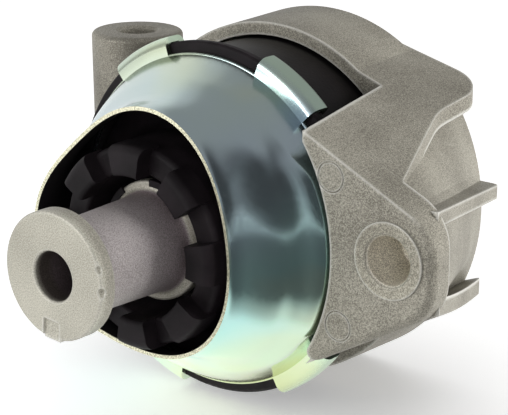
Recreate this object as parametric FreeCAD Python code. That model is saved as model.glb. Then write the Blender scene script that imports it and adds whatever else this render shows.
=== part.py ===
import FreeCAD, Part

import math
import os

from FreeCAD import Vector

# Hydraulic engine mount: a rubber and fluid cartridge in a cast aluminium bracket.
# Millimetres. The mount's own axis is Y, and y is the depth behind the face of the core's head.
# X runs to the bolt flange, Z is up. The origin is the centre of the bolt hole in the head.

# Core
head_radius = 16.4
head_thickness = 5.0
head_edge = 0.6
core_hole_radius = 6.35
core_hole_depth = 46.0
core_hole_chamfer = 0.4
drill_point_angle = 59.0
neck_front_radius = 12.0
neck_back_radius = 13.0
neck_fillet = 1.6
disc_front = 36.0
disc_radius = 15.9
disc_thickness = 3.4
tail_front_radius = 14.0
tail_back_radius = 10.0
tail_end = 61.0
tail_round = 3.0
gate_angle = 265.0
gate_width = 5.4
gate_length = 4.8
gate_depth = 0.7
gate_stub = 0.5
chips = [(18.0, 1.1), (-3.0, 1.4)]

# Cover: sheet bell, opening with three lobes, crimp tabs
sheet = 1.6
opening_front = 30.5
opening_radius = 33.3
opening_oval = 1.45
opening_oval_angle = 33.0
opening_lobe = 2.25
opening_lobe_angle = 74.0
opening_shift_x = -1.9
opening_shift_z = 2.1
collar_length = 4.0
collar_flare = 0.4
bell_foot_inset = 1.9
flange_front = 57.5
cover_edge_inset = 2.9
tab_bend = 2.2
tab_hook = 2.2
tab_clearance = 0.15
tab_spans = [(107, 131), (45.5, 69), (168, 192), (234, 258), (300, 323)]

# Flange ring: bead of the spring over the flange of the case
bead_width = 3.2
bead_thickness = 2.2
bead_round = 0.8
case_flange_step = 0.4
case_flange_thickness = 2.0

# Rubber spring with its ring of buffer blocks
buffer_inner_radius = 19.4
buffer_outer_radius = 26.3
buffer_floor = 31.2
buffer_block_front = 26.4
buffer_block_round = 2.6
buffer_block_outer_radius = 26.9
buffer_block_span = 23.5
buffer_block_draft = 0.2
buffer_count = 8
buffer_first_angle = 2.0
trough_floor = 47.0
shoulder_front = 50.0
rubber_skin = 1.0
bead_skin = 0.4
core_flash = 0.5
core_flash_spans = [(40, 92), (129, 244)]
fluid_face = 66.0

# Steel ring in the rubber
spring_ring_wall = 1.4
spring_ring_flange_inset = 1.6

# Cartridge case
case_radius = 45.0
case_wall = 2.0
case_step_wall = 4.5
case_floor = 2.0
vent_radius = 1.9

# Stack in the case, front to back
plates_front = 80.0
plate_thickness = 5.0
grille_thickness = 1.6
grille_hole_radius = 2.6
grille_holes = 8
grille_circle = 13.5
decoupler_radius = 22.0
decoupler_thickness = 3.2
decoupler_clearance = 0.3
channel_inner_radius = 31.0
channel_width = 6.0
channel_depth = 3.0
channel_span = 320.0
plate_clearance = 0.1
bellows_rim = 3.0
bellows_wall = 1.4
bellows_rim_inner_radius = 38.0
bellows_depth = 9.0
clamp_ring_thickness = 3.0
clamp_ring_width = 4.0

# Housing: pot
pot_mouth = 85.0
pot_wall = 4.4
pot_draft = 0.8
mouth_relief = 0.8
pot_seat_front = 92.0
pot_floor = 4.5
pot_back_round = 2.5
pot_vent_radius = 1.9

# Housing: bolt flange and its gusset
face_y = 47.7
plate_depth = 8.4
arc_clearance = 1.8
arc_x = -1.8
arc_z = 2.2
corner_x = 39.3
corner_slant = 0.083
corner_to_z = 12.0
tip_round = 2.2
ring_clearance = 0.35
roof_front_inset = 2.26
roof_front_lean = 25.64
roof_back_inset = 2.0
roof_back_lean = 14.57
base_x = 47.7
base_front_rise = 25.6
base_front_slope = 0.58
base_back_rise = 24.2
base_back_slope = 0.40
flange_end_x = 78.8
flange_end_slant = 0.15
flange_corner_radius = 13.0
flange_round = 2.6
edge_clear = 0.4
bolt_x = 65.7
bolt_z = 5.6
bolt_hole_radius = 6.25
bolt_hole_depth = 15.0
bolt_hole_chamfer = 0.6
pad_radius = 9.8
pad_height = 0.6
mark_radius = 4.0
mark_width = 0.4
mark_depth = 0.3
mark_places = [(48.0, 23.2), (50.8, -14.7)]
panel_corner_x = 63.5
panel_base_x = 56.0
panel_step = 0.9
panel_top_angle = 39.0
panel_middle_angle = 12.0
panel_lower_angle = -6.0
panel_low_angle = -24.0
panel_rise = 1.4
rib_inner_x = 14.0
rib_sink = 0.05
roof_rib = 4.6
roof_blend = 16.0
roof_waist_x = 52.0
roof_waist_y = 88.0
roof_lobe_radius = 10.0
side_rib = 3.8
side_rib_front_z = 15.8
side_rib_back_z = 6.6
side_rib_tip_x = 56.8
side_rib_setback = 3.6
base_rib = 4.6
base_rib_tip_x = 52.2
base_rib_setback = 2.4
far = 120.0

# Housing: upright boss
post_x = -56.8
post_y = 92.7
post_top = 39.0
post_bottom = -20.0
post_radius = 13.4
post_draft = 1.0
post_edge = 1.5
post_hole_radius = 5.5
post_hole_chamfer = 0.8
post_web_width = 12.0
post_web_top = 26.0
post_web_bottom = -14.0

# Places that follow from the sizes above
bead_radius = case_radius + bead_width
cover_edge_radius = bead_radius - cover_edge_inset
bell_foot_radius = cover_edge_radius - bell_foot_inset
spring_ring_flange_radius = bead_radius - spring_ring_flange_inset
pot_radius = case_radius + pot_wall
arc_radius = bead_radius + arc_clearance
panel_radius = pot_radius + pot_draft + panel_rise
flange_back = flange_front + sheet
bead_back = flange_back + bead_thickness
tab_inner = bead_radius + tab_clearance
tab_outer = tab_inner + sheet
case_flange_back = bead_back + case_flange_thickness
plates_middle = plates_front + plate_thickness
plates_back = plates_middle + plate_thickness
bellows_back = plates_back + bellows_rim
clamp_back = bellows_back + clamp_ring_thickness
case_inner = case_radius - case_wall
case_end = clamp_back + bellows_depth + case_floor
pot_end = case_end + pot_floor
plate_back = face_y + plate_depth
rib_root = plate_back - plate_depth / 4
origin = Vector(0, 0, 0)
axis_y = Vector(0, 1, 0)
axis_z = Vector(0, 0, 1)


def rounded_outline(corners, place):
    """Closed wire through corners (a, b, radius); place turns (a, b) into a point."""
    count = len(corners)
    starts = []
    arcs = []
    for i in range(count):
        a, b, radius = corners[i]
        here = Vector(a, b, 0)
        before = Vector(corners[i - 1][0], corners[i - 1][1], 0) - here
        after = Vector(corners[(i + 1) % count][0], corners[(i + 1) % count][1], 0) - here
        before.normalize()
        after.normalize()
        if radius <= 0:
            starts.append((here, here))
            arcs.append(None)
            continue
        half = before.getAngle(after) / 2
        reach = radius / math.tan(half)
        bisector = before + after
        bisector.normalize()
        centre = here + bisector * (radius / math.sin(half))
        middle = centre - bisector * radius
        starts.append((here + before * reach, here + after * reach))
        arcs.append(middle)
    edges = []
    for i in range(count):
        enter, leave = starts[i]
        if arcs[i] is not None:
            points = [place(p.x, p.y) for p in (enter, arcs[i], leave)]
            edges.append(Part.Arc(*points).toShape())
        target = starts[(i + 1) % count][0]
        if leave.distanceToPoint(target) > 1e-6:
            edges.append(Part.LineSegment(place(leave.x, leave.y), place(target.x, target.y)).toShape())
    return Part.Wire(edges)


def radial(a, b):
    return Vector(a, b, 0)


def turned(corners, start=0.0, span=360.0):
    """Solid turned about Y from (radius, y, rounding) corners, from the start angle up from X."""
    face = Part.Face(rounded_outline(corners, radial))
    if start:
        face.rotate(origin, axis_y, -start)
    return face.revolve(origin, axis_y, -span)


def rod(radius, start, end, x=0.0, z=0.0):
    return Part.makeCylinder(radius, end - start, Vector(x, start, z), axis_y)


def at_depth(y):
    """Place (x, z) points in the plane at depth y."""
    return lambda a, b: Vector(a, y, b)


def polar(radius, angle):
    turn = math.radians(angle)
    return radius * math.cos(turn), radius * math.sin(turn)


def make_core():
    profile = [
        (0, 0, 0),
        (head_radius, 0, head_edge),
        (head_radius, head_thickness, head_edge),
        (neck_front_radius, head_thickness, neck_fillet),
        (neck_back_radius, disc_front, neck_fillet),
        (disc_radius, disc_front, head_edge),
        (disc_radius, disc_front + disc_thickness, head_edge),
        (tail_front_radius, disc_front + disc_thickness, 0),
        (tail_back_radius, tail_end, tail_round),
        (0, tail_end, 0),
    ]
    core = turned(profile)
    hole = rod(core_hole_radius, 0, core_hole_depth)
    point = core_hole_radius / math.tan(math.radians(drill_point_angle))
    tip = Part.makeCone(core_hole_radius, 0, point, Vector(0, core_hole_depth, 0), axis_y)
    mouth_radius = core_hole_radius + core_hole_chamfer
    mouth = Part.makeCone(mouth_radius, core_hole_radius, core_hole_chamfer, origin, axis_y)
    drilled = core.cut(hole).cut(tip).cut(mouth)
    # broken-off gate: a step in the face and a stub on the rim
    stub = Part.makeBox(gate_length + gate_stub, head_thickness - 2 * gate_depth, gate_width)
    stub.translate(Vector(head_radius - gate_length, gate_depth, -gate_width / 2))
    stub.rotate(origin, axis_y, -gate_angle)
    step = Part.makeBox(2 * gate_length, 2 * gate_depth, gate_width)
    step.translate(Vector(head_radius - gate_length, -gate_depth, -gate_width / 2))
    step.rotate(origin, axis_y, -gate_angle)
    head = drilled.fuse(stub).cut(step)
    for angle, radius in chips:
        x, z = polar(head_radius, angle)
        head = head.cut(Part.makeSphere(radius, Vector(x, 0, z)))
    return core, head


def opening_wire(y, radius, share):
    """Closed smooth outline at depth y: a circle that takes its share of the opening's oval and lobes."""
    points = []
    steps = 36
    for i in range(steps):
        angle = 360.0 * i / steps
        oval = opening_oval * math.cos(math.radians(2 * (angle - opening_oval_angle)))
        lobe = opening_lobe * math.cos(math.radians(3 * (angle - opening_lobe_angle)))
        x, z = polar(radius + share * (oval + lobe), angle)
        points.append(Vector(x + share * opening_shift_x, y, z + share * opening_shift_z))
    curve = Part.BSplineCurve()
    curve.interpolate(points, PeriodicFlag=True)
    return Part.Wire(curve.toShape())


def bell(inset):
    """The bell's solid form, from the opening to the flange, inset by the sheet for its inside."""
    collar_radius = opening_radius + collar_flare
    collar_end = opening_front + collar_length
    rise = flange_front - collar_end
    spread = bell_foot_radius - collar_radius
    # depth share, radius share and how much of the lobes is left, down the bell
    stations = [
        (0.10, 0.035, 0.95),
        (0.22, 0.14, 0.85),
        (0.36, 0.34, 0.66),
        (0.52, 0.58, 0.42),
        (0.70, 0.80, 0.20),
        (0.86, 0.93, 0.06),
        (1.0, 1.0, 0.0),
    ]
    wires = []
    if inset:
        wires.append(opening_wire(opening_front - sheet, opening_radius - inset, 1.0))
    wires.append(opening_wire(opening_front, opening_radius - inset, 1.0))
    wires.append(opening_wire(collar_end - collar_length / 2, opening_radius + collar_flare / 3 - inset, 1.0))
    wires.append(opening_wire(collar_end, collar_radius - inset, 1.0))
    for depth, share, lobes in stations:
        slope = 1.0 + 0.35 * inset * math.sin(math.pi * depth) / sheet
        radius = collar_radius + share * spread - inset * slope
        wires.append(opening_wire(collar_end + depth * rise, radius, lobes))
    if inset:
        wires.append(opening_wire(flange_back + 1.0, bell_foot_radius - inset, 0.0))
    return Part.makeLoft(wires, True, False)


def make_cover():
    inside = bell(sheet)
    rim = turned([
        (bell_foot_radius - 1.5 * sheet, flange_front, 0),
        (cover_edge_radius, flange_front, 0.4),
        (cover_edge_radius, flange_back, 0.4),
        (bell_foot_radius - 1.5 * sheet, flange_back, 0),
    ])
    cover = bell(0.0).fuse(rim).cut(inside)
    hook_front = case_flange_back + tab_clearance
    section = [
        (cover_edge_radius - sheet, flange_front, 0),
        (tab_outer, flange_front, tab_bend),
        (tab_outer, hook_front + sheet, tab_bend),
        (tab_inner - tab_hook, hook_front + sheet, 0.5),
        (tab_inner - tab_hook, hook_front, 0.3),
        (tab_inner, hook_front, 0.5),
        (tab_inner, flange_back, 0.5),
        (cover_edge_radius - sheet, flange_back, 0),
    ]
    for first, last in tab_spans:
        cover = cover.fuse(turned(section, first, last - first))
    return cover.removeSplitter()


def make_spring_ring():
    front = flange_back + bead_skin
    outside = case_inner - rubber_skin
    return turned([
        (outside - spring_ring_wall, front, 1.2),
        (spring_ring_flange_radius, front, 0.4),
        (spring_ring_flange_radius, front + spring_ring_wall, 0.4),
        (outside, front + spring_ring_wall, 0.6),
        (outside, plates_front, 0),
        (outside - spring_ring_wall, plates_front, 0),
    ])


def make_main_spring(core_blank, ring):
    profile = [
        (0, disc_front + disc_thickness, 0),
        (tail_front_radius + rubber_skin, disc_front + disc_thickness, 0.8),
        (tail_front_radius + 2 * rubber_skin, trough_floor, 1.5),
        (buffer_inner_radius - rubber_skin, trough_floor, 1.0),
        (buffer_inner_radius, buffer_floor, 1.0),
        (buffer_outer_radius, buffer_floor, 1.5),
        (buffer_outer_radius + 0.8, shoulder_front, 4.0),
        (case_inner - 5.0, shoulder_front + 4.0, 3.0),
        (case_inner - 4.0, flange_back, 0.5),
        (bead_radius, flange_back, bead_round),
        (bead_radius, bead_back, bead_round / 3),
        (case_inner, bead_back, 0),
        (case_inner, plates_front, 0),
        (case_inner - 2 * rubber_skin - spring_ring_wall, plates_front, 1.0),
        (case_inner - 6.0, plates_front - 8.0, 6.0),
        (tail_back_radius + 8.0, fluid_face, 6.0),
        (tail_back_radius, tail_end + 2 * rubber_skin, 3.0),
        (0, tail_end + 2 * rubber_skin, 0),
    ]
    rubber = turned(profile)
    block = turned([
        (buffer_inner_radius - 0.5, buffer_block_front, buffer_block_round / 2),
        (buffer_block_outer_radius, buffer_block_front, buffer_block_round),
        (buffer_block_outer_radius + buffer_block_draft, buffer_floor + 3.0, 0),
        (buffer_inner_radius, buffer_floor + 3.0, 0),
    ], -buffer_block_span / 2, buffer_block_span)
    for i in range(buffer_count):
        copy = block.copy()
        copy.rotate(origin, axis_y, -(buffer_first_angle + i * 360.0 / buffer_count))
        rubber = rubber.fuse(copy)
    # thin flash that the mould leaves on the face of the disc
    for first, last in core_flash_spans:
        flash = turned([
            (neck_back_radius + neck_fillet, disc_front - core_flash, 0),
            (disc_radius + core_flash, disc_front - core_flash, 0.3),
            (disc_radius + core_flash, disc_front + disc_thickness + 1.0, 0),
            (neck_back_radius + neck_fillet, disc_front + disc_thickness + 1.0, 0),
        ], first, last - first)
        rubber = rubber.fuse(flash)
    return rubber.cut(ring).cut(core_blank).removeSplitter()


def make_case():
    case = turned([
        (case_inner, bead_back, 0.4),
        (bead_radius - case_flange_step, bead_back, bead_round / 3),
        (bead_radius - case_flange_step, case_flange_back, bead_round),
        (case_radius, case_flange_back, 0.5),
        (case_radius, case_end, 1.5),
        (0, case_end, 0),
        (0, case_end - case_floor, 0),
        (case_radius - case_step_wall, case_end - case_floor, 1.5),
        (case_radius - case_step_wall, clamp_back, 0.3),
        (case_inner, clamp_back, 0),
    ])
    return case.cut(rod(vent_radius, case_end - 2 * case_floor, case_end + 1))


def channel_plate(front, cage_side):
    """A plate with its half of the cage and of the channel; cage_side is 1 for the back face."""
    radius = case_inner - plate_clearance
    back = front + plate_thickness
    plate = turned([(0, front, 0), (radius, front, 0.4), (radius, back, 0.4), (0, back, 0)])
    pocket = decoupler_thickness / 2 + decoupler_clearance
    if cage_side > 0:
        pocket_from, pocket_to = back - pocket, back + 1
        channel_from, channel_to = back - channel_depth, back + 1
        relief_from, relief_to = front - 1, back - pocket - grille_thickness
    else:
        pocket_from, pocket_to = front - 1, front + pocket
        channel_from, channel_to = front - 1, front + channel_depth
        relief_from, relief_to = front + pocket + grille_thickness, back + 1
    plate = plate.cut(rod(decoupler_radius + decoupler_clearance, pocket_from, pocket_to))
    plate = plate.cut(rod(decoupler_radius - 2.0, relief_from, relief_to))
    channel = turned([
        (channel_inner_radius, channel_from, 0.8 if cage_side > 0 else 0),
        (channel_inner_radius + channel_width, channel_from, 0.8 if cage_side > 0 else 0),
        (channel_inner_radius + channel_width, channel_to, 0 if cage_side > 0 else 0.8),
        (channel_inner_radius, channel_to, 0 if cage_side > 0 else 0.8),
    ], 10.0, channel_span)
    plate = plate.cut(channel)
    # port from the channel's end to the chamber on this side
    port_angle = 10.0 + 6.0 if cage_side > 0 else 10.0 + channel_span - 6.0
    x, z = polar(channel_inner_radius + channel_width / 2, port_angle)
    plate = plate.cut(rod(channel_width / 2 - 0.3, front - 1, back + 1, x, z))
    plate = plate.cut(rod(grille_hole_radius, front - 1, back + 1))
    for i in range(grille_holes):
        x, z = polar(grille_circle, i * 360.0 / grille_holes)
        plate = plate.cut(rod(grille_hole_radius, front - 1, back + 1, x, z))
    return plate


def make_decoupler():
    front = plates_middle - decoupler_thickness / 2
    back = plates_middle + decoupler_thickness / 2
    return turned([
        (0, front, 0),
        (decoupler_radius, front, 0.8),
        (decoupler_radius, back, 0.8),
        (0, back, 0),
    ])


def make_bellows():
    rim_out = case_inner - plate_clearance
    rim_in = bellows_rim_inner_radius
    wall = bellows_wall
    deep = clamp_back + 0.75 * bellows_depth
    crest = plates_back + 2.0
    return turned([
        (rim_out, plates_back, 0),
        (rim_out, bellows_back, 0),
        (rim_in, bellows_back, 0.5),
        (rim_in - 1.0, deep, 3.0),
        (rim_in - 12.0, deep, 3.0),
        (rim_in - 15.0, crest + wall, 3.0),
        (0, crest + wall, 0),
        (0, crest, 0),
        (rim_in - 15.0 + wall, crest, 3.0),
        (rim_in - 12.0 + wall, deep - wall, 2.0),
        (rim_in - 1.0 - wall, deep - wall, 2.0),
        (rim_in - wall, plates_back, 0),
    ])


def make_clamp_ring():
    radius = case_inner - plate_clearance
    return turned([
        (radius - clamp_ring_width, bellows_back, 0.3),
        (radius, bellows_back, 0.3),
        (radius, clamp_back, 0.3),
        (radius - clamp_ring_width, clamp_back, 0.3),
    ])


def roof_line(y):
    """Distance from the mount's axis and lean of the roof's line at depth y."""
    share = (y - face_y) / (pot_end - face_y)
    inset = roof_front_inset + share * (roof_back_inset - roof_front_inset)
    lean = roof_front_lean + share * (roof_back_lean - roof_front_lean)
    return pot_radius - inset, math.radians(lean)


def roof_z(x, y):
    """Height of the flange's top surface, which twists as it runs back."""
    distance, lean = roof_line(y)
    return distance / math.cos(lean) - x * math.tan(lean)


def base_z(x, y):
    """Height of the flange's bottom surface, ruled in the same way."""
    share = (y - face_y) / (pot_end - face_y)
    height = base_front_rise + share * (base_back_rise - base_front_rise) - pot_radius
    slope = base_front_slope + share * (base_back_slope - base_front_slope)
    return height + slope * (x - base_x)


def flange_outline(y):
    """Outline of the bolt flange at depth y, its end rounded about the bolt."""
    inner_x = 30.0
    end_x = flange_end_x - flange_end_slant * (y - face_y)
    corners = [
        (inner_x, roof_z(inner_x, y), 0),
        (end_x, roof_z(end_x, y), flange_corner_radius),
        (end_x, base_z(end_x, y), flange_corner_radius),
        (inner_x, base_z(inner_x, y), 0),
    ]
    return rounded_outline(corners, at_depth(y))


def cover_room():
    """Space round the cover: the flange's inner arc and the flat side of its upper corner."""
    start = face_y - 10.0
    corner = upright_prism([
        (0, start, 0),
        (corner_x + corner_slant * (face_y - start), start, 0),
        (corner_x - corner_slant * (pot_mouth - face_y), pot_mouth, 0),
        (0, pot_mouth, 0),
    ])
    above = Part.makeBox(far, pot_mouth - start, far, Vector(0, start, corner_to_z))
    arc = rod(arc_radius, start, pot_mouth, arc_x, arc_z)
    ring = rod(tab_outer + ring_clearance, flange_front - sheet / 2, pot_mouth)
    return arc.fuse(corner.common(above)).fuse(ring)


def rounded_face_block():
    """Block whose front edge is rounded at the flange's end and base, but stands clear of its top."""
    sections = []
    for angle in (90.0, 65.0, 40.0, 15.0):
        turn = math.radians(angle)
        sections.append((flange_round * (1 - math.sin(turn)), flange_round * (1 - math.cos(turn))))
    depth, inset = sections[-1]
    run_out = (inset + edge_clear) / math.tan(math.radians(15.0))
    wires = [face_block_wire(face_y + depth, inset) for depth, inset in sections]
    rounded = Part.makeLoft(wires, True, False)
    wires = [wires[-1], face_block_wire(face_y + depth + run_out, -edge_clear),
             face_block_wire(plate_back + 1.0, -edge_clear)]
    return rounded.fuse(Part.makeLoft(wires, True, True))


def face_block_wire(y, inset):
    end_x = flange_end_x - flange_end_slant * (y - face_y) - inset
    inner_x = 20.0
    return rounded_outline([
        (inner_x, roof_z(inner_x, y) + edge_clear, 0),
        (end_x, roof_z(end_x, y) + edge_clear, flange_corner_radius),
        (end_x, base_z(end_x, y) + inset, flange_corner_radius - inset),
        (inner_x, base_z(inner_x, y) + inset, 0),
    ], at_depth(y))


def make_flange_plate():
    """Flange, its lower tip and the edge of its face rounded."""
    plate = Part.makeLoft([flange_outline(face_y), flange_outline(plate_back)], True, True)
    plate = plate.cut(cover_room())
    lowest = min(vertex.Z for vertex in plate.Vertexes)
    tip = [edge for edge in plate.Edges
           if edge.BoundBox.YLength > 0.9 * plate_depth and edge.BoundBox.ZMin < lowest + 1.0]
    plate = plate.makeFillet(tip_round, tip)
    return plate.common(rounded_face_block())


def panel_wire(y, points, arcs):
    """Closed wire at depth y through (x, z) points; arcs names the middle point of a curved side."""
    edges = []
    for i in range(len(points)):
        start = Vector(points[i][0], y, points[i][1])
        end_xz = points[(i + 1) % len(points)]
        end = Vector(end_xz[0], y, end_xz[1])
        if i in arcs:
            middle = Vector(arcs[i][0], y, arcs[i][1])
            edges.append(Part.Arc(start, middle, end).toShape())
        else:
            edges.append(Part.LineSegment(start, end).toShape())
    return Part.Wire(edges)


def make_gusset():
    """Flared body from the back of the flange to the pot, whose sides are the floors of the pockets."""
    front_y = rib_root
    step = panel_step
    inner_x = 34.0
    end_x = flange_end_x - flange_end_slant * (front_y - face_y) - step
    corners = [
        (inner_x, roof_z(inner_x, front_y) - step, 0),
        (panel_corner_x, roof_z(panel_corner_x, front_y) - step, 0),
        (end_x, roof_z(end_x, front_y) - step, flange_corner_radius - step),
        (end_x, base_z(end_x, front_y) + step, flange_corner_radius - step),
        (panel_base_x, base_z(panel_base_x, front_y) + step, 0),
        (inner_x, base_z(inner_x, front_y) + step, 0),
    ]
    front = rounded_outline(corners, at_depth(front_y))
    angles = [panel_top_angle, panel_middle_angle, panel_middle_angle - 8.0,
              panel_lower_angle, panel_lower_angle - 8.0, panel_low_angle]
    rim = [polar(panel_radius, angle) for angle in angles]
    back = [(inner_x - 8.0, 34.0)] + rim + [(inner_x - 4.0, -28.0)]
    arcs = {}
    for i in range(len(angles) - 1):
        arcs[i + 1] = polar(panel_radius, (angles[i] + angles[i + 1]) / 2)
    return Part.makeLoft([front, panel_wire(pot_end, back, arcs)], True, True)


def slab(surface, sink, depth, x_from, x_to):
    """Solid between surface(x, y) sunk a hair into the flange and the same surface at its depth."""
    wires = []
    for y in (rib_root, pot_end):
        wires.append(panel_wire(y, [
            (x_from, surface(x_from, y) + sink),
            (x_to, surface(x_to, y) + sink),
            (x_to, surface(x_to, y) + depth),
            (x_from, surface(x_from, y) + depth),
        ], {}))
    return Part.makeLoft(wires, True, True)


def upright_prism(corners):
    """Tall prism over a plan outline of (x, y, rounding) corners."""
    wire = rounded_outline(corners, lambda a, b: Vector(a, b, -far))
    return Part.Face(wire).extrude(Vector(0, 0, 2 * far))


def side_rib_z(x, y):
    """Height of the middle rib's centre, which falls from the flange's corner to the back."""
    share = (y - plate_back) / (pot_end - plate_back)
    return side_rib_front_z + share * (side_rib_back_z - side_rib_front_z)


def rib_plan(setback, tip_x, width):
    """Plan of a rib that narrows from the flange's end to its tip at the back of the pot."""
    return upright_prism([
        (rib_inner_x, rib_root, 0),
        (flange_end_x - setback, rib_root, 0),
        (tip_x, pot_end, 0.8 * width),
        (rib_inner_x, pot_end, 0),
    ])


def make_ribs():
    """The roof, the middle rib and the base rib, each cut to its outline in plan."""
    roof = slab(roof_z, -rib_sink, -roof_rib, rib_inner_x, far)
    run = (panel_corner_x - roof_waist_x) / (roof_waist_y - plate_back)
    roof_plan = upright_prism([
        (rib_inner_x, rib_root, 0),
        (panel_corner_x + run * (plate_back - rib_root), rib_root, 0),
        (roof_waist_x, roof_waist_y, 20.0),
        (roof_waist_x, pot_end, roof_lobe_radius),
        (rib_inner_x, pot_end, 0),
    ])
    side = slab(side_rib_z, -side_rib / 2, side_rib / 2, rib_inner_x, far)
    base = slab(base_z, rib_sink, base_rib, rib_inner_x, far)
    return [
        roof.common(roof_plan),
        side.common(rib_plan(side_rib_setback, side_rib_tip_x, side_rib)),
        base.common(rib_plan(base_rib_setback, base_rib_tip_x, base_rib)),
    ]


def roof_blend_wedge():
    """Hollow blend where the roof leaves the round of the pot, at the mouth and at the back."""
    wires = []
    for y in (pot_mouth, pot_end - pot_back_round):
        radius = pot_radius - 0.1
        distance, lean = roof_line(y)
        # centre of the blend: one radius above the roof line and outside the pot
        rise = distance + roof_blend
        along = math.sqrt((radius + roof_blend) ** 2 - rise ** 2)
        side = (math.cos(lean), -math.sin(lean))
        normal = (math.sin(lean), math.cos(lean))
        centre = (along * side[0] + rise * normal[0], along * side[1] + rise * normal[1])
        gap = math.hypot(centre[0], centre[1])
        on_pot = (centre[0] * radius / gap, centre[1] * radius / gap)
        on_roof = (centre[0] - roof_blend * normal[0], centre[1] - roof_blend * normal[1])
        inward = Vector(on_pot[0] + on_roof[0] - 2 * centre[0], on_pot[1] + on_roof[1] - 2 * centre[1], 0)
        inward.normalize()
        middle = (centre[0] + inward.x * roof_blend, centre[1] + inward.y * roof_blend)
        inside = (on_pot[0] * 0.9, on_pot[1] * 0.9)
        wires.append(panel_wire(y, [on_pot, on_roof, (on_roof[0], on_roof[1] - 4.0), inside], {0: middle}))
    return Part.makeLoft(wires, True, True)


def make_post():
    height = post_top - post_bottom
    foot_radius = post_radius - height * math.tan(math.radians(post_draft)) / 2
    base = Vector(post_x, post_y, post_bottom)
    post = Part.makeCone(foot_radius, post_radius, height, base, axis_z)
    rims = [edge for edge in post.Edges if edge.Length > 2 * foot_radius and abs(edge.BoundBox.ZLength) < 0.01]
    post = post.makeFillet(post_edge, rims)
    web = Part.makeBox(-post_x - 0.8 * pot_radius, post_web_width, post_web_top - post_web_bottom,
                       Vector(post_x, post_y - post_web_width / 2, post_web_bottom))
    return post.fuse(web)


def make_housing():
    back_radius = pot_radius + pot_draft
    pot = turned([
        (0, pot_mouth, 0),
        (pot_radius, pot_mouth, 0),
        (back_radius, pot_end, pot_back_round),
        (0, pot_end, 0),
    ])
    housing = pot.fuse(make_flange_plate()).fuse(make_gusset())
    housing = housing.fuse(make_ribs()).fuse(roof_blend_wedge()).fuse(make_post())
    housing = housing.fuse(rod(pad_radius, face_y - pad_height, face_y + 1.0, bolt_x, bolt_z))
    housing = housing.cut(cover_room())
    bore = turned([
        (0, pot_mouth - 1.0, 0),
        (case_radius + mouth_relief, pot_mouth - 1.0, 0),
        (case_radius + mouth_relief, pot_seat_front - 2.0, 0),
        (case_radius, pot_seat_front, 0),
        (case_radius, case_end, 0),
        (0, case_end, 0),
    ])
    housing = housing.cut(bore)
    housing = housing.cut(rod(pot_vent_radius, case_end - 1.0, pot_end + 1.0))
    hole_end = face_y - pad_height + bolt_hole_depth
    hole = rod(bolt_hole_radius, face_y - 5.0, hole_end, bolt_x, bolt_z)
    point = bolt_hole_radius / math.tan(math.radians(drill_point_angle))
    hole_tip = Part.makeCone(bolt_hole_radius, 0, point, Vector(bolt_x, hole_end, bolt_z), axis_y)
    mouth = Part.makeCone(bolt_hole_radius + bolt_hole_chamfer, bolt_hole_radius, bolt_hole_chamfer,
                          Vector(bolt_x, face_y - pad_height, bolt_z), axis_y)
    housing = housing.cut([hole, hole_tip, mouth])
    for x, z in mark_places:
        mark = rod(mark_radius, face_y - 1.0, face_y + mark_depth, x, z)
        mark = mark.cut(rod(mark_radius - mark_width, face_y - 2.0, face_y + 1.0, x, z))
        housing = housing.cut(mark)
    post_hole = Part.makeCylinder(post_hole_radius, post_top - post_bottom + 2.0,
                                  Vector(post_x, post_y, post_bottom - 1.0), axis_z)
    post_mouth = Part.makeCone(post_hole_radius, post_hole_radius + post_hole_chamfer, post_hole_chamfer,
                               Vector(post_x, post_y, post_top - post_hole_chamfer), axis_z)
    housing = housing.cut([post_hole, post_mouth])
    return housing.removeSplitter()


def main():
    core_blank, core = make_core()
    ring = make_spring_ring()
    pieces = {
        "housing": make_housing(),
        "cover": make_cover(),
        "core": core,
        "main_spring": make_main_spring(core_blank, ring),
        "spring_ring": ring,
        "case": make_case(),
        "upper_channel_plate": channel_plate(plates_front, 1),
        "lower_channel_plate": channel_plate(plates_middle, -1),
        "decoupler": make_decoupler(),
        "bellows": make_bellows(),
        "clamp_ring": make_clamp_ring(),
    }
    os.makedirs("parts", exist_ok=True)
    for name, shape in pieces.items():
        shape.exportStep("parts/" + name + ".step")
        print(name, len(shape.Solids), shape.isValid(), round(shape.Volume), len(shape.Faces))


main()
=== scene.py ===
import math

import bmesh
import bpy
from mathutils import Matrix, Vector


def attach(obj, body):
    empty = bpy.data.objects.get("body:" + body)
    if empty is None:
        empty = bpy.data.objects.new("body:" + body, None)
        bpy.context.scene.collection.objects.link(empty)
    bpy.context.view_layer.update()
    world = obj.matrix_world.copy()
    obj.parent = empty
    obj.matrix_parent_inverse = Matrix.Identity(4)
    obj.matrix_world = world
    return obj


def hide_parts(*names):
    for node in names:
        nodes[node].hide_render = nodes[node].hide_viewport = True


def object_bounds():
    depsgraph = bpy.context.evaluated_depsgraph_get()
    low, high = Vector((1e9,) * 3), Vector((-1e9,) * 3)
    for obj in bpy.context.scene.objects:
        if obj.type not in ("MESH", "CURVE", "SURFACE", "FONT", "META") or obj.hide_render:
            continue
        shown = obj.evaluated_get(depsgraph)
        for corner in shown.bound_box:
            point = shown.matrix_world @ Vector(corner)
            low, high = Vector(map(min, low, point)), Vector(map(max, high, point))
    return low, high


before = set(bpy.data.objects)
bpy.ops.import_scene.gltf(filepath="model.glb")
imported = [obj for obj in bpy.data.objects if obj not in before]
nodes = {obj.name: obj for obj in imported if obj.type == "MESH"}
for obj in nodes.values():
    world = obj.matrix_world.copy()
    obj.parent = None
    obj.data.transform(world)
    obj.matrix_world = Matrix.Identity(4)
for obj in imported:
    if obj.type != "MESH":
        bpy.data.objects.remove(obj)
cad_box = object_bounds()

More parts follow.
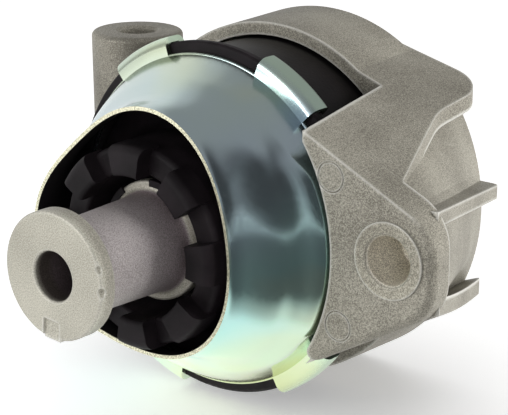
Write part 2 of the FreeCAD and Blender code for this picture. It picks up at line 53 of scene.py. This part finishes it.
# Camera: a long lens in front of the mount, to the right of its axis and a little above it,
# aimed so that the middle of the cartridge's flange falls where the photograph has it.
photo_middle = (254.0, 207.5)
flange_in_photo = (209.598, 220.390)
focal_pixels = 1800.0
camera_data = bpy.data.cameras.new("camera")
camera_data.sensor_width = 36.0
camera_data.lens = 127.56
camera_data.clip_start = 0.05
camera_data.clip_end = 20.0
camera = bpy.data.objects.new("camera", camera_data)
bpy.context.collection.objects.link(camera)
bpy.context.scene.camera = camera
view_azimuth = math.radians(39.231)
view_elevation = math.radians(17.154)
view_distance = 0.47993
flange_middle = Vector((0, 0.0585, 0))
aim_right = (flange_in_photo[0] - photo_middle[0]) / focal_pixels
aim_down = (flange_in_photo[1] - photo_middle[1]) / focal_pixels
towards = Vector((math.sin(view_azimuth) * math.cos(view_elevation),
                  -math.cos(view_azimuth) * math.cos(view_elevation),
                  math.sin(view_elevation)))
right = Vector((math.cos(view_azimuth), math.sin(view_azimuth), 0))
up = towards.cross(right)
camera.matrix_world = Matrix((right, up, towards)).transposed().to_4x4()
camera.location = flange_middle + view_distance * (towards - aim_right * right + aim_down * up)

# Studio floor: a sheet of white paper under the lowest tab. It keeps the mount's soft shadow, partly real
# and partly painted, and the camera sees it as white. Metal sees it too, but for a dim patch to the right
# in front, which shows in metal as a painted dark reflection.
paper_gap = 0.0006
floor_z = cad_box[0][2] - paper_gap
patch_middle = (0.62, -0.25, floor_z)
patch_edge, paper_edge = 0.585, 0.635
bm = bmesh.new()
bmesh.ops.create_grid(bm, x_segments=1, y_segments=1, size=3.0)
bmesh.ops.translate(bm, verts=bm.verts, vec=(0, 0, floor_z))
floor_mesh = bpy.data.meshes.new("floor")
bm.to_mesh(floor_mesh)
bm.free()
floor = bpy.data.objects.new("floor", floor_mesh)
bpy.context.collection.objects.link(floor)
floor_paper = bpy.data.materials.new("floor_paper")
floor_paper.use_nodes = True
tree = floor_paper.node_tree
paper = tree.nodes["Principled BSDF"]
paper.inputs["Roughness"].default_value = 0.8
paper.inputs["Emission Color"].default_value = (1, 1, 1, 1)
place = tree.nodes.new("ShaderNodeTexCoord")
away = tree.nodes.new("ShaderNodeVectorMath")
away.operation = "DISTANCE"
away.inputs[1].default_value = patch_middle
tree.links.new(place.outputs["Object"], away.inputs[0])
open_paper = tree.nodes.new("ShaderNodeMapRange")
open_paper.interpolation_type = "SMOOTHSTEP"
open_paper.inputs["From Min"].default_value = patch_edge
open_paper.inputs["From Max"].default_value = paper_edge
tree.links.new(away.outputs["Value"], open_paper.inputs["Value"])
ray = tree.nodes.new("ShaderNodeLightPath")
mirrored = tree.nodes.new("ShaderNodeMath")
mirrored.operation = "MULTIPLY"
tree.links.new(ray.outputs["Is Glossy Ray"], mirrored.inputs[0])
tree.links.new(open_paper.outputs["Result"], mirrored.inputs[1])
# Painted shadow: near the mount, ambient occlusion dims the glow that the camera sees.
painted_shadow_ao = tree.nodes.new("ShaderNodeAmbientOcclusion")
painted_shadow_ao.samples = 12
painted_shadow_ao.inputs["Distance"].default_value = 0.06
glow_less_painted_shadow = tree.nodes.new("ShaderNodeMapRange")
glow_less_painted_shadow.inputs["From Min"].default_value = 0.30
glow_less_painted_shadow.inputs["From Max"].default_value = 0.95
glow_less_painted_shadow.inputs["To Min"].default_value = 0.36
glow_less_painted_shadow.inputs["To Max"].default_value = 0.74
tree.links.new(painted_shadow_ao.outputs["AO"], glow_less_painted_shadow.inputs["Value"])
seen = tree.nodes.new("ShaderNodeMath")
seen.operation = "MULTIPLY"
tree.links.new(ray.outputs["Is Camera Ray"], seen.inputs[0])
tree.links.new(glow_less_painted_shadow.outputs["Result"], seen.inputs[1])
glow = tree.nodes.new("ShaderNodeMath")
glow.operation = "MULTIPLY_ADD"
glow.inputs[1].default_value = 0.64
tree.links.new(mirrored.outputs[0], glow.inputs[0])
tree.links.new(seen.outputs[0], glow.inputs[2])
tree.links.new(glow.outputs[0], paper.inputs["Emission Strength"])
# Painted dark reflection: in the dim patch, metal sees a dark sheet and no glow.
dim = tree.nodes.new("ShaderNodeMath")
dim.operation = "SUBTRACT"
tree.links.new(ray.outputs["Is Glossy Ray"], dim.inputs[0])
tree.links.new(mirrored.outputs[0], dim.inputs[1])
paper_and_painted_dark_reflection = tree.nodes.new("ShaderNodeMix")
paper_and_painted_dark_reflection.data_type = "RGBA"
paper_and_painted_dark_reflection.inputs["A"].default_value = (0.82, 0.82, 0.82, 1)
paper_and_painted_dark_reflection.inputs["B"].default_value = (0.16, 0.16, 0.17, 1)
tree.links.new(dim.outputs[0], paper_and_painted_dark_reflection.inputs["Factor"])
tree.links.new(paper_and_painted_dark_reflection.outputs["Result"], paper.inputs["Base Color"])
floor.data.materials.append(floor_paper)

# Studio surround: white for the camera. For the mount it is mid grey, bright to the left,
# in front and behind to the right, and dim to the right in front, where no screen stands.
world = bpy.data.worlds.new("studio")
bpy.context.scene.world = world
world.use_nodes = True
sky = world.node_tree
surround = sky.nodes["Background"]
surround.inputs["Color"].default_value = (1, 1, 1, 1)
heading = sky.nodes.new("ShaderNodeTexCoord")
mid_grey = 0.36
level = None
for towards_screen, edge, heart, gain in [((-0.93, 0.25, 0.20), 0.62, 0.96, 0.62),
                                          ((-0.25, -0.95, 0.10), 0.70, 0.98, 0.50),
                                          ((0.72, 0.69, 0.08), 0.88, 0.98, 0.60),
                                          ((0.95, -0.25, 0.10), 0.50, 0.86, -0.29)]:
    aim_at = sky.nodes.new("ShaderNodeVectorMath")
    aim_at.operation = "DOT_PRODUCT"
    aim_at.inputs[1].default_value = Vector(towards_screen).normalized()
    sky.links.new(heading.outputs["Generated"], aim_at.inputs[0])
    screen = sky.nodes.new("ShaderNodeMapRange")
    screen.interpolation_type = "SMOOTHSTEP"
    screen.inputs["From Min"].default_value = edge
    screen.inputs["From Max"].default_value = heart
    screen.inputs["To Max"].default_value = gain
    sky.links.new(aim_at.outputs["Value"], screen.inputs["Value"])
    total = sky.nodes.new("ShaderNodeMath")
    total.operation = "ADD"
    total.inputs[1].default_value = mid_grey
    sky.links.new(screen.outputs["Result"], total.inputs[0])
    if level:
        sky.links.new(level, total.inputs[1])
    level = total.outputs[0]
ray = sky.nodes.new("ShaderNodeLightPath")
either = sky.nodes.new("ShaderNodeMix")
either.data_type = "FLOAT"
either.inputs["B"].default_value = 1.0
sky.links.new(ray.outputs["Is Camera Ray"], either.inputs["Factor"])
sky.links.new(level, either.inputs["A"])
sky.links.new(either.outputs["Result"], surround.inputs["Strength"])

# Studio lamps: a soft box to the left in front, one behind to the right that lights the
# ribbed side, and a weak fill to the right that only lifts the matt surfaces.
off_the_floor = bpy.data.collections.new("off_the_floor")
off_the_floor.objects.link(floor)
off_the_floor.collection_objects[0].light_linking.link_state = "EXCLUDE"


def soft_box(name, place, target, size, watts, main):
    """Square lamp facing target. Only the main one shows in metal and lights the floor."""
    lamp = bpy.data.lights.new(name, "AREA")
    lamp.size = size
    lamp.energy = watts
    box = bpy.data.objects.new(name, lamp)
    bpy.context.collection.objects.link(box)
    box.location = place
    box.rotation_euler = (Vector(target) - Vector(place)).to_track_quat("-Z", "Y").to_euler()
    box.visible_glossy = main
    if not main:
        box.light_linking.receiver_collection = off_the_floor


soft_box("box_front", place=(-0.22, -0.50, 0.16), target=(0, 0, 0), size=0.30, watts=1.2, main=True)
soft_box("box_behind", place=(0.58, 0.34, 0.17), target=(0.06, 0.08, 0), size=0.30, watts=7.5, main=False)
soft_box("box_fill", place=(0.45, -0.45, 0.10), target=(0.03, 0.03, 0), size=0.40, watts=2.8, main=False)

bpy.context.scene.view_settings.view_transform = "Standard"


# Housing: one die casting of shot-blasted aluminium, a pot with a ribbed flange for the
# body-side bolt and an upright boss. The skin is a fine warm grey grain, bright at the edges.
def shaded_zone(tree, place, colour, centre, reach, front, back, gain, blur):
    """The colour times gain within reach of a line along Y through centre, from front to back."""
    level = tree.nodes.new("ShaderNodeVectorMath")
    level.operation = "MULTIPLY"
    level.inputs[1].default_value = (1, 0, 1)
    tree.links.new(place.outputs["Object"], level.inputs[0])
    away = tree.nodes.new("ShaderNodeVectorMath")
    away.operation = "DISTANCE"
    away.inputs[1].default_value = (centre[0], 0, centre[1])
    tree.links.new(level.outputs["Vector"], away.inputs[0])
    split = tree.nodes.new("ShaderNodeSeparateXYZ")
    tree.links.new(place.outputs["Object"], split.inputs["Vector"])
    side_blur, back_blur = 0.0002, 0.0003
    share = None
    for source, start, end, low, high in [
            (away.outputs["Value"], reach - side_blur, reach + side_blur, 1, 0),
            (split.outputs["Y"], front - blur, front + blur, 0, 1),
            (split.outputs["Y"], back - back_blur, back + back_blur, 1, 0)]:
        ramp = tree.nodes.new("ShaderNodeMapRange")
        ramp.inputs["From Min"].default_value = start
        ramp.inputs["From Max"].default_value = end
        ramp.inputs["To Min"].default_value = low
        ramp.inputs["To Max"].default_value = high
        tree.links.new(source, ramp.inputs["Value"])
        both = tree.nodes.new("ShaderNodeMath")
        both.operation = "MULTIPLY"
        both.inputs[1].default_value = 1.0
        tree.links.new(ramp.outputs["Result"], both.inputs[0])
        if share:
            tree.links.new(share, both.inputs[1])
        share = both.outputs[0]
    toned = tree.nodes.new("ShaderNodeMix")
    toned.data_type = "RGBA"
    toned.blend_type = "MULTIPLY"
    toned.inputs["B"].default_value = (*gain, 1)
    tree.links.new(share, toned.inputs["Factor"])
    tree.links.new(colour, toned.inputs["A"])
    return toned.outputs["Result"]


def cast_skin(name, light, dark, metallic, roughness, zones=()):
    """Blasted or bare metal: fine grain in colour, gloss and height, with bright edges, partly worn and
    partly a painted highlight.
    """
    skin = bpy.data.materials.new(name)
    skin.use_nodes = True
    tree = skin.node_tree
    shader = tree.nodes["Principled BSDF"]
    shader.inputs["Metallic"].default_value = metallic
    place = tree.nodes.new("ShaderNodeTexCoord")
    grain = tree.nodes.new("ShaderNodeTexNoise")
    grain.inputs["Scale"].default_value = 3300.0
    grain.inputs["Detail"].default_value = 2.0
    grain.inputs["Roughness"].default_value = 0.6
    tree.links.new(place.outputs["Object"], grain.inputs["Vector"])
    cloud = tree.nodes.new("ShaderNodeTexNoise")
    cloud.inputs["Scale"].default_value = 45.0
    cloud.inputs["Detail"].default_value = 5.0
    tree.links.new(place.outputs["Object"], cloud.inputs["Vector"])
    blend = tree.nodes.new("ShaderNodeMix")
    blend.data_type = "FLOAT"
    blend.inputs["Factor"].default_value = 0.28
    tree.links.new(grain.outputs["Fac"], blend.inputs["A"])
    tree.links.new(cloud.outputs["Fac"], blend.inputs["B"])
    tone = tree.nodes.new("ShaderNodeValToRGB")
    tone.color_ramp.elements[0].position = 0.40
    tone.color_ramp.elements[0].color = (*dark, 1)
    tone.color_ramp.elements[1].position = 0.62
    tone.color_ramp.elements[1].color = (*light, 1)
    tree.links.new(blend.outputs["Result"], tone.inputs["Fac"])
    colour = tone.outputs["Color"]
    for zone in zones:
        colour = shaded_zone(tree, place, colour, **zone)
    # Rounded edges, and a brighter colour where the metal is thin under the skin, as at its edges: partly
    # wear, partly a painted edge highlight.
    rounding = tree.nodes.new("ShaderNodeBevel")
    rounding.samples = 6
    rounding.inputs["Radius"].default_value = 0.0005
    thin = tree.nodes.new("ShaderNodeAmbientOcclusion")
    thin.samples = 8
    thin.inside = True
    thin.inputs["Distance"].default_value = 0.0012
    wear_and_painted_edge_highlight = tree.nodes.new("ShaderNodeMapRange")
    wear_and_painted_edge_highlight.inputs["From Min"].default_value = 0.86
    wear_and_painted_edge_highlight.inputs["From Max"].default_value = 0.45
    wear_and_painted_edge_highlight.inputs["To Max"].default_value = 0.65
    tree.links.new(thin.outputs["AO"], wear_and_painted_edge_highlight.inputs["Value"])
    worn_and_highlit_edges = tree.nodes.new("ShaderNodeMix")
    worn_and_highlit_edges.data_type = "RGBA"
    worn_and_highlit_edges.inputs["B"].default_value = (0.80, 0.79, 0.74, 1)
    tree.links.new(wear_and_painted_edge_highlight.outputs["Result"], worn_and_highlit_edges.inputs["Factor"])
    tree.links.new(colour, worn_and_highlit_edges.inputs["A"])
    tree.links.new(worn_and_highlit_edges.outputs["Result"], shader.inputs["Base Color"])
    gloss = tree.nodes.new("ShaderNodeMapRange")
    gloss.inputs["To Min"].default_value = roughness + 0.10
    gloss.inputs["To Max"].default_value = roughness - 0.10
    tree.links.new(grain.outputs["Fac"], gloss.inputs["Value"])
    tree.links.new(gloss.outputs["Result"], shader.inputs["Roughness"])
    relief = tree.nodes.new("ShaderNodeBump")
    relief.inputs["Strength"].default_value = 0.30
    relief.inputs["Distance"].default_value = 0.00012
    tree.links.new(grain.outputs["Fac"], relief.inputs["Height"])
    tree.links.new(rounding.outputs["Normal"], relief.inputs["Normal"])
    tree.links.new(relief.outputs["Normal"], shader.inputs["Normal"])
    return skin


# The pad that is faced round the bolt's hole is a little paler. The drilled hole's wall is painted three
# times brighter: painted light that lifts the shade inside the hole.
bolt_at = (0.0657, 0.0056)
pad = dict(centre=bolt_at, reach=0.0098, front=0.0400, back=0.0476, gain=(1.22, 1.22, 1.20), blur=0.0001)
bore_with_painted_light = dict(centre=bolt_at, reach=0.0064, front=0.0470, back=0.0630, gain=(3.0, 3.0, 3.1), blur=0.0001)
nodes["housing"].material_slots[0].material = cast_skin(
    "cast_housing", light=(0.41, 0.39, 0.328), dark=(0.15, 0.138, 0.112), metallic=0.5, roughness=0.55,
    zones=[pad, bore_with_painted_light])

# Core: turned and blasted aluminium, a flat head on a neck, with the bolt's blind hole.
# The head's face is brighter than all behind it; the neck is plum, and towards the rubber it has a painted
# shade.
axis = (0, 0)
# Everything behind the head's face is darker than the face.
behind_the_face = dict(centre=axis, reach=0.0300, front=0.0015, back=0.0700, gain=(0.74, 0.73, 0.73), blur=0.0010)
neck = dict(centre=axis, reach=0.0142, front=0.0055, back=0.0355, gain=(1.25, 1.20, 1.40), blur=0.0010)
# Painted shade, with a plum painted reflection of the rubber, where the neck meets the disc.
neck_foot_painted_shade = dict(centre=axis, reach=0.0142, front=0.0290, back=0.0355, gain=(0.50, 0.42, 0.47), blur=0.0100)
# The blind hole's wall is painted near black: a painted shade in the bore.
blind_hole_painted_shade = dict(centre=axis, reach=0.0066, front=0.0010, back=0.0700, gain=(0.22, 0.19, 0.20), blur=0.0010)
nodes["core"].material_slots[0].material = cast_skin(
    "cast_core", light=(0.57, 0.55, 0.47), dark=(0.30, 0.287, 0.24), metallic=0.5, roughness=0.5,
    zones=[behind_the_face, neck, neck_foot_painted_shade, blind_hole_painted_shade])

# Cover: drawn sheet steel, zinc plated and passivated, with five tabs crimped over the
# cartridge. The film gives pale teal, with yellow green at the foot and on the bent tabs. With height its
# colour is brighter low and greyer high, partly the film's own and partly a painted reflection.
opening_front, opening_radius = 0.0305, 0.0333
foot, foot_radius, sheet = 0.0575, 0.0449, 0.0010
plate_film = bpy.data.materials.new("plated_cover")
plate_film.use_nodes = True
tree = plate_film.node_tree
shader = tree.nodes["Principled BSDF"]
shader.inputs["Metallic"].default_value = 1.0
place = tree.nodes.new("ShaderNodeTexCoord")
# Colour by height: partly the film's own, partly a painted reflection, brighter low where the floor shows.
up_for_film_and_painted_light = tree.nodes.new("ShaderNodeVectorMath")
up_for_film_and_painted_light.operation = "DOT_PRODUCT"
up_for_film_and_painted_light.inputs[1].default_value = (-0.35, 0.0, 1.0)
tree.links.new(place.outputs["Object"], up_for_film_and_painted_light.inputs[0])
drift = tree.nodes.new("ShaderNodeTexNoise")
drift.inputs["Scale"].default_value = 28.0
drift.inputs["Detail"].default_value = 2.0
drift.inputs["Distortion"].default_value = 0.6
tree.links.new(place.outputs["Object"], drift.inputs["Vector"])
height = tree.nodes.new("ShaderNodeMapRange")
height.inputs["From Min"].default_value = -0.052
height.inputs["From Max"].default_value = 0.052
tree.links.new(up_for_film_and_painted_light.outputs["Value"], height.inputs["Value"])
film = tree.nodes.new("ShaderNodeMix")
film.data_type = "FLOAT"
film.inputs["Factor"].default_value = 0.40
tree.links.new(height.outputs["Result"], film.inputs["A"])
tree.links.new(drift.outputs["Fac"], film.inputs["B"])
film_and_painted_reflection = tree.nodes.new("ShaderNodeValToRGB")
film_and_painted_reflection.color_ramp.elements[0].position = 0.10
film_and_painted_reflection.color_ramp.elements[0].color = (0.62, 0.66, 0.38, 1)
film_and_painted_reflection.color_ramp.elements[1].position = 0.95
film_and_painted_reflection.color_ramp.elements[1].color = (0.62, 0.70, 0.54, 1)
for position, colour in [(0.20, (0.74, 0.82, 0.54, 1)), (0.28, (0.72, 0.88, 0.68, 1)),
                         (0.36, (0.55, 0.88, 0.82, 1)), (0.48, (0.54, 0.74, 0.78, 1)),
                         (0.62, (0.50, 0.60, 0.67, 1)), (0.74, (0.52, 0.63, 0.62, 1)),
                         (0.85, (0.60, 0.67, 0.50, 1))]:
    film_and_painted_reflection.color_ramp.elements.new(position).color = colour
tree.links.new(film.outputs["Result"], film_and_painted_reflection.inputs["Fac"])
split = tree.nodes.new("ShaderNodeSeparateXYZ")
tree.links.new(place.outputs["Object"], split.inputs["Vector"])
on_tab = tree.nodes.new("ShaderNodeMapRange")
on_tab.inputs["From Min"].default_value = foot
on_tab.inputs["From Max"].default_value = foot + 0.0020
on_tab.inputs["To Max"].default_value = 0.75
tree.links.new(split.outputs["Y"], on_tab.inputs["Value"])
bent = tree.nodes.new("ShaderNodeMix")
bent.data_type = "RGBA"
bent.inputs["B"].default_value = (0.60, 0.76, 0.60, 1)
tree.links.new(on_tab.outputs["Result"], bent.inputs["Factor"])
tree.links.new(film_and_painted_reflection.outputs["Color"], bent.inputs["A"])
tree.links.new(bent.outputs["Result"], shader.inputs["Base Color"])
streak = tree.nodes.new("ShaderNodeTexNoise")
streak.inputs["Scale"].default_value = 900.0
streak.inputs["Detail"].default_value = 3.0
tree.links.new(place.outputs["Object"], streak.inputs["Vector"])
gloss = tree.nodes.new("ShaderNodeMapRange")
gloss.inputs["To Min"].default_value = 0.12
gloss.inputs["To Max"].default_value = 0.26
tree.links.new(streak.outputs["Fac"], gloss.inputs["Value"])
duller = tree.nodes.new("ShaderNodeMath")
duller.operation = "MULTIPLY_ADD"
duller.inputs[1].default_value = 0.22
tree.links.new(on_tab.outputs["Result"], duller.inputs[0])
tree.links.new(gloss.outputs["Result"], duller.inputs[2])
tree.links.new(duller.outputs[0], shader.inputs["Roughness"])
wave = tree.nodes.new("ShaderNodeBump")
wave.inputs["Strength"].default_value = 0.25
wave.inputs["Distance"].default_value = 0.004
tree.links.new(drift.outputs["Fac"], wave.inputs["Height"])
tree.links.new(wave.outputs["Normal"], shader.inputs["Normal"])

# The cut edge of the sheet round the opening is rough and pale, where the press sheared it.
cut_edge = bpy.data.materials.new("cut_edge")
cut_edge.use_nodes = True
tree = cut_edge.node_tree
shader = tree.nodes["Principled BSDF"]
shader.inputs["Metallic"].default_value = 0.7
shader.inputs["Roughness"].default_value = 0.5
place = tree.nodes.new("ShaderNodeTexCoord")
tear = tree.nodes.new("ShaderNodeTexNoise")
tear.inputs["Scale"].default_value = 2200.0
tear.inputs["Detail"].default_value = 2.0
tree.links.new(place.outputs["Object"], tear.inputs["Vector"])
tone = tree.nodes.new("ShaderNodeValToRGB")
tone.color_ramp.elements[0].position = 0.36
tone.color_ramp.elements[0].color = (0.40, 0.39, 0.28, 1)
tone.color_ramp.elements[1].position = 0.60
tone.color_ramp.elements[1].color = (0.86, 0.84, 0.64, 1)
tree.links.new(tear.outputs["Fac"], tone.inputs["Fac"])
tree.links.new(tone.outputs["Color"], shader.inputs["Base Color"])

# Inside, the sheet is dull and painted near black: a painted shade for the dark inside the bell.
painted_shade_inside = bpy.data.materials.new("painted_shade_inside")
painted_shade_inside.use_nodes = True
tree = painted_shade_inside.node_tree
shader = tree.nodes["Principled BSDF"]
shader.inputs["Roughness"].default_value = 0.7
shader.inputs["Specular IOR Level"].default_value = 0.2
place = tree.nodes.new("ShaderNodeTexCoord")
cloud = tree.nodes.new("ShaderNodeTexNoise")
cloud.inputs["Scale"].default_value = 200.0
cloud.inputs["Detail"].default_value = 4.0
tree.links.new(place.outputs["Object"], cloud.inputs["Vector"])
tone = tree.nodes.new("ShaderNodeValToRGB")
tone.color_ramp.elements[0].color = (0.004, 0.0035, 0.004, 1)
tone.color_ramp.elements[1].color = (0.012, 0.010, 0.011, 1)
tree.links.new(cloud.outputs["Fac"], tone.inputs["Fac"])
tree.links.new(tone.outputs["Color"], shader.inputs["Base Color"])

# Its bell leaves the opening as a short collar and widens to the foot: at once on the side of
# the bolt flange, where it is a full dome that swells to just short of the flange's arc, and
# slowly elsewhere. The opening is an oval with three lobes, which fade out towards the foot.
oval_depth, oval_turn = 0.00145, math.radians(33.0)
lobe_depth, lobe_turn = 0.00225, math.radians(74.0)
opening_left, opening_up = 0.0019, 0.0021
arc_x, arc_z, arc_radius, arc_gap, most_swell = -0.0018, 0.0022, 0.0500, 0.0007, 0.0030
dome = [(0.0, 0.0), (0.05, 0.02), (0.09, 0.10), (0.13, 0.22), (0.18, 0.36), (0.25, 0.52), (0.33, 0.655),
        (0.42, 0.73), (0.48, 0.765), (0.52, 0.81), (0.56, 0.90), (0.60, 0.975), (0.64, 1.0), (1.0, 1.0)]
swell = [(0.0, 0.0), (0.42, 0.0), (0.50, 0.25), (0.58, 0.85), (0.64, 1.0), (1.0, 1.0)]
slope = [(0.0, 0.0), (0.148, 0.01), (0.233, 0.045), (0.336, 0.15), (0.455, 0.33), (0.591, 0.54),
         (0.744, 0.74), (0.881, 0.89), (1.0, 1.0)]


def value_at(profile, depth):
    """The profile's value at this share of the bell's depth."""
    for (start, low), (end, high) in zip(profile, profile[1:]):
        if depth <= end:
            return low + (high - low) * (depth - start) / (end - start)
    return 1.0


def beside(turn, middle, end, fade):
    """1 round the middle turn and 0 from end degrees away, with an eased fade between."""
    share = max(0.0, min(1.0, (end - abs(math.degrees(turn) - middle)) / fade))
    return share ** 2 * (3 - 2 * share)


steps_down, steps_round, crowding, smoothing_passes = 40, 240, 1.3, 6
bm = bmesh.new()
chain = []
for step in range(steps_down + 1):
    row = opening_front + (foot - opening_front) * (step / steps_down) ** crowding
    chain.append(bm.verts.new((opening_radius, row, 0)))
for start, end in zip(chain, chain[1:]):
    bm.edges.new((start, end))
bmesh.ops.spin(bm, geom=bm.verts[:] + bm.edges[:], cent=(0, 0, 0), axis=(0, 1, 0), angle=math.tau,
               steps=steps_round, use_merge=True)
for vert in bm.verts:
    depth = (vert.co.y - opening_front) / (foot - opening_front)
    turn = math.atan2(vert.co.z, vert.co.x)
    beside_flange = beside(turn, middle=8.0, end=85.0, fade=55.0)
    beside_arc = beside(turn, middle=3.0, end=37.0, fade=14.0)
    fill = beside_flange * value_at(dome, depth) + (1 - beside_flange) * value_at(slope, depth)
    oval = oval_depth * math.cos(2 * (turn - oval_turn))
    lobes = lobe_depth * math.cos(3 * (turn - lobe_turn))
    radius = opening_radius + fill * (foot_radius - opening_radius) + (1 - fill) * (oval + lobes)
    lean = arc_x * math.cos(turn) + arc_z * math.sin(turn)
    reach = lean + math.sqrt(lean ** 2 - arc_x ** 2 - arc_z ** 2 + (arc_radius - arc_gap) ** 2)
    radius += max(0.0, min(most_swell, reach - foot_radius)) * beside_arc * value_at(swell, depth)
    vert.co.x = radius * math.cos(turn) - (1 - fill) * opening_left
    vert.co.z = radius * math.sin(turn) + (1 - fill) * opening_up
hair = 0.00001
inner_rows = [vert for vert in bm.verts if opening_front + hair < vert.co.y < foot - hair]
for smoothing_pass in range(smoothing_passes):
    bmesh.ops.smooth_vert(bm, verts=inner_rows, factor=0.5,
                          use_axis_x=True, use_axis_y=False, use_axis_z=True)
bmesh.ops.recalc_face_normals(bm, faces=bm.faces[:])
bmesh.ops.solidify(bm, geom=bm.faces[:], thickness=sheet)
finishes = [plate_film, cut_edge, painted_shade_inside]
facing_front = -0.6
for face in bm.faces:
    middle = face.calc_center_median()
    if face.normal.y < facing_front and middle.y < opening_front + sheet / 2:
        face.material_index = finishes.index(cut_edge)
    elif face.normal.x * middle.x + face.normal.z * middle.z < 0:
        face.material_index = finishes.index(painted_shade_inside)

# The rim lies on the rubber bead, and five tabs bend over the bead and the cartridge's flange.
# A corner of a section is a radius, a depth and a rounding. Each section is turned about the
# axis from its first angle, in degrees, to its last.
rim_back = 0.0591
rim_corners = [(0.0433, foot, 0), (0.0453, foot, 0.0004), (0.0453, rim_back, 0.0004), (0.0433, rim_back, 0)]
tab_corners = [(0.0437, foot, 0), (0.04995, foot, 0.0026), (0.04995, 0.06505, 0.0024),
               (0.04615, 0.06505, 0.0005), (0.04615, 0.06345, 0.0003), (0.04835, 0.06345, 0.0008),
               (0.04835, rim_back, 0.0010), (0.0437, rim_back, 0)]
tab_steps = 20
turned_parts = [(rim_corners, 0, 360), (tab_corners, 107, 131), (tab_corners, 45.5, 69),
                (tab_corners, 168, 192), (tab_corners, 234, 258), (tab_corners, 300, 323)]
for corners, first, last in turned_parts:
    part = bmesh.new()
    outline = [part.verts.new((radius, depth, 0)) for radius, depth, rounding in corners]
    part.faces.new(outline)
    for vert, (radius, depth, rounding) in zip(outline, corners):
        if rounding:
            bmesh.ops.bevel(part, geom=[vert], offset=rounding, affect="VERTICES", segments=5,
                            profile=0.5, material=-1)
    to_first = Matrix.Rotation(-math.radians(first), 3, "Y")
    bmesh.ops.rotate(part, verts=part.verts[:], cent=(0, 0, 0), matrix=to_first)
    whole = last - first == 360
    if whole:
        bmesh.ops.delete(part, geom=part.faces[:], context="FACES_ONLY")
    section = part.verts[:] + part.edges[:] + part.faces[:]
    bmesh.ops.spin(part, geom=section, cent=(0, 0, 0), axis=(0, 1, 0), angle=-math.radians(last - first),
                   steps=steps_round if whole else tab_steps, use_merge=whole)
    bmesh.ops.remove_doubles(part, verts=part.verts[:], dist=1e-7)
    bmesh.ops.recalc_face_normals(part, faces=part.faces[:])
    turned_mesh = bpy.data.meshes.new("turned")
    part.to_mesh(turned_mesh)
    part.free()
    bm.from_mesh(turned_mesh)
    bpy.data.meshes.remove(turned_mesh)
for face in bm.faces:
    face.smooth = True
cover_mesh = bpy.data.meshes.new("cover_sheet")
bm.to_mesh(cover_mesh)
bm.free()
cover_mesh.set_sharp_from_angle(angle=math.radians(40))
for finish in finishes:
    cover_mesh.materials.append(finish)
cover_sheet = bpy.data.objects.new("cover_sheet", cover_mesh)
bpy.context.collection.objects.link(cover_sheet)
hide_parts("cover")
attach(cover_sheet, "root")


# Main spring and the other rubber: moulded natural rubber, nearly black with a plum cast,
# with a faint bloom and the dull grain of the mould.
def dull_black(name, dark, bloom, roughness):
    """Dull black rubber or coat, with a cloudy bloom and a fine grain."""
    black = bpy.data.materials.new(name)
    black.use_nodes = True
    tree = black.node_tree
    shader = tree.nodes["Principled BSDF"]
    shader.inputs["Roughness"].default_value = roughness
    shader.inputs["Specular IOR Level"].default_value = 0.16
    place = tree.nodes.new("ShaderNodeTexCoord")
    cloud = tree.nodes.new("ShaderNodeTexNoise")
    cloud.inputs["Scale"].default_value = 120.0
    cloud.inputs["Detail"].default_value = 6.0
    tree.links.new(place.outputs["Object"], cloud.inputs["Vector"])
    tone = tree.nodes.new("ShaderNodeValToRGB")
    tone.color_ramp.elements[0].position = 0.35
    tone.color_ramp.elements[0].color = (*dark, 1)
    tone.color_ramp.elements[1].position = 0.75
    tone.color_ramp.elements[1].color = (*bloom, 1)
    tree.links.new(cloud.outputs["Fac"], tone.inputs["Fac"])
    tree.links.new(tone.outputs["Color"], shader.inputs["Base Color"])
    grain = tree.nodes.new("ShaderNodeTexNoise")
    grain.inputs["Scale"].default_value = 1100.0
    grain.inputs["Detail"].default_value = 3.0
    tree.links.new(place.outputs["Object"], grain.inputs["Vector"])
    relief = tree.nodes.new("ShaderNodeBump")
    relief.inputs["Strength"].default_value = 0.3
    relief.inputs["Distance"].default_value = 0.00015
    tree.links.new(grain.outputs["Fac"], relief.inputs["Height"])
    tree.links.new(relief.outputs["Normal"], shader.inputs["Normal"])
    return black


nodes["main_spring"].material_slots[0].material = dull_black(
    "spring_rubber", dark=(0.0055, 0.0042, 0.0050), bloom=(0.015, 0.0115, 0.0135), roughness=0.6)
disc_rubber = dull_black("disc_rubber", dark=(0.012, 0.011, 0.012), bloom=(0.026, 0.024, 0.025),
                         roughness=0.6)
for name in ("decoupler", "bellows"):
    nodes[name].material_slots[0].material = disc_rubber

# Case: a deep drawn aluminium cup with a black coat. The inner plates are bare castings
# and the two rings plain steel.
nodes["case"].material_slots[0].material = dull_black(
    "black_case", dark=(0.003, 0.0023, 0.0026), bloom=(0.006, 0.0048, 0.0052), roughness=0.42)
bare_plate = cast_skin("plate_aluminium", light=(0.62, 0.61, 0.58), dark=(0.40, 0.39, 0.37),
                       metallic=0.9, roughness=0.4)
for name in ("upper_channel_plate", "lower_channel_plate"):
    nodes[name].material_slots[0].material = bare_plate
plain_steel = cast_skin("ring_steel", light=(0.42, 0.42, 0.42), dark=(0.26, 0.26, 0.27),
                        metallic=0.9, roughness=0.4)
for name in ("spring_ring", "clamp_ring"):
    nodes[name].material_slots[0].material = plain_steel
